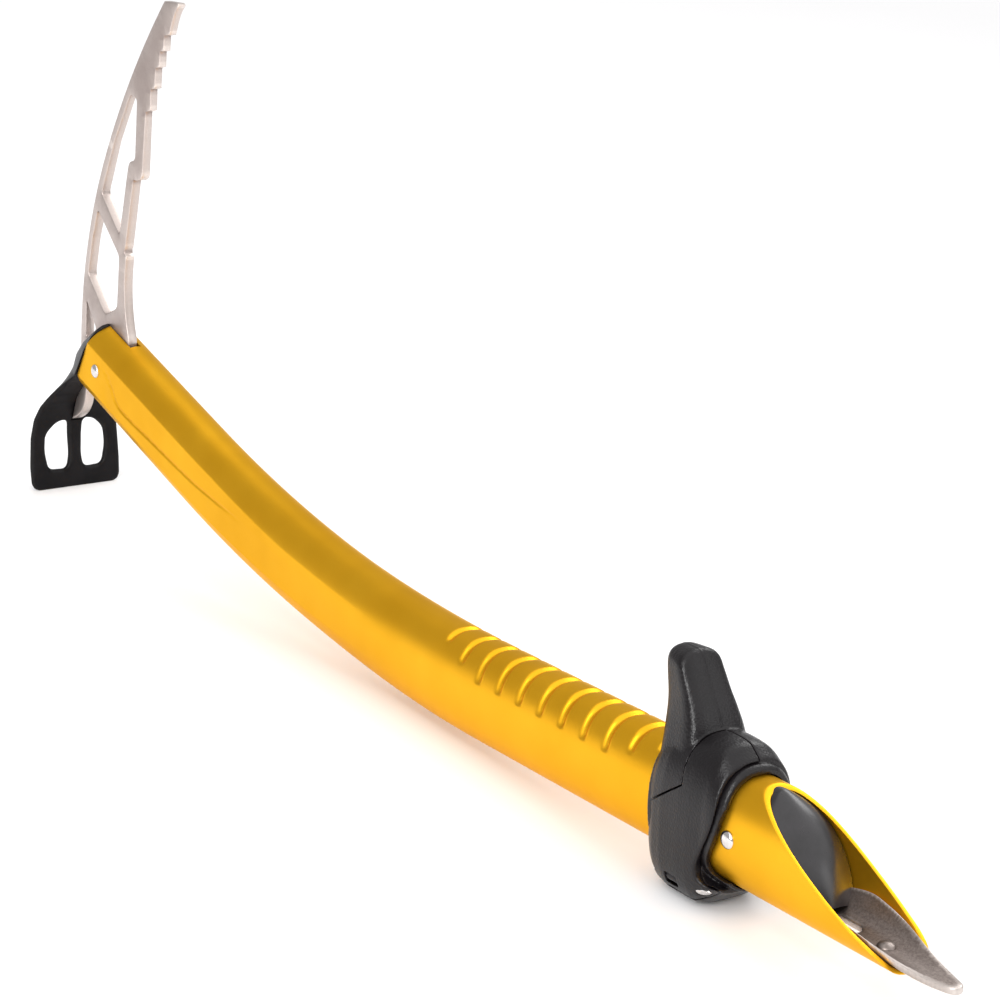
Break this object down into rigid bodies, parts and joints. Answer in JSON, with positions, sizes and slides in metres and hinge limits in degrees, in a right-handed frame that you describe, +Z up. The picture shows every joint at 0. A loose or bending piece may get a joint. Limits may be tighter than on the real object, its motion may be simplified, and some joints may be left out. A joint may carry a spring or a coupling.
{
  "type": "ice axe",
  "caption": "Light mountaineering ice axe: curved oval metal shaft, plate pick, black adze, scooped spike end and a sliding finger rest clamped by a side lever.",
  "frame": {"origin": "middle of the overall footprint, on the surface the axe lies on", "axes": "+X from the head towards the spike, +Z up on the pick side, +Y across the axe, away from the finger rest's clamp lever"},
  "size_m": [0.5324, 0.04, 0.2109],
  "materials": {
    "gold_shaft": "satin gold anodised aluminium tube, fine drawn grain",
    "steel_plate": "tumbled and sanded plain steel plate",
    "black_adze": "black lacquered steel pressing",
    "black_insert": "gloss black moulded plastic",
    "rivet_steel": "bright polished rivet steel",
    "grained_nylon": "black fine-grained moulded nylon",
    "rubber_pad": "soft black rubber"
  },
  "bodies": {
    "axe": {"shaft_tube": "gold_shaft", "pick_plate": "steel_plate", "adze": "black_adze", "head_filler_left": "black_insert", "head_filler_right": "black_insert", "head_rivet": "rivet_steel", "end_plug": "black_insert", "end_rivet": "rivet_steel", "spike_blade": "steel_plate", "spike_rivet": "rivet_steel"},
    "finger_rest": {"finger_rest_body": "grained_nylon", "lever_pin": "rivet_steel", "friction_pad_left": "rubber_pad", "friction_pad_right": "rubber_pad"},
    "clamp_lever": {"clamp_lever": "grained_nylon"}
  },
  "joints": [
    {"name": "finger_rest_slide", "type": "slide", "parent": "axe", "child": "finger_rest", "axis": [-0.999, 0, -0.0457], "range_m": [0, 0.085]},
    {"name": "clamp_lever_hinge", "type": "hinge", "parent": "finger_rest", "child": "clamp_lever", "pos_m": [0.16097, -0.012, 0.00696], "axis": [0.999, 0, 0.0457], "range_deg": [0, 60]}
  ]
}
